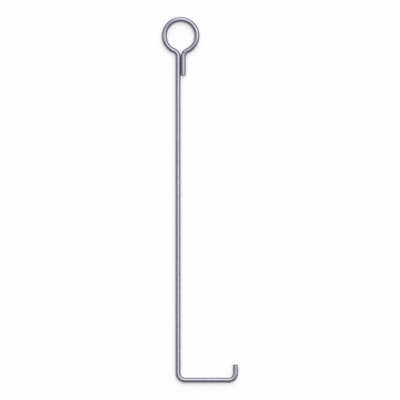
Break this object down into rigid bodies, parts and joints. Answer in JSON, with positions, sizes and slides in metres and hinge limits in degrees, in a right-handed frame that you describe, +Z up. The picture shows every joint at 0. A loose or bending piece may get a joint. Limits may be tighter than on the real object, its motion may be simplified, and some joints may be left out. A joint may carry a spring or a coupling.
{
  "type": "guy anchor rod",
  "caption": "Round steel bar bent into a closed guy-wire eye, with its tail laid beside the shank, and a square hook at the foot that holds in concrete or ground.",
  "frame": {"origin": "centre of the eye, in the plane of the bar's centre line", "axes": "+Z up along the eye's axis with the rod lying flat, -Y from the eye along the shank to the hook, +X the way the hook turns"},
  "size_m": [0.1908, 0.9145, 0.0126],
  "materials": {
    "galvanised_steel": "smooth galvanised steel bar, light cool grey with a soft satin shine"
  },
  "bodies": {
    "root": {"anchor_rod": "galvanised_steel"}
  },
  "joints": []
}
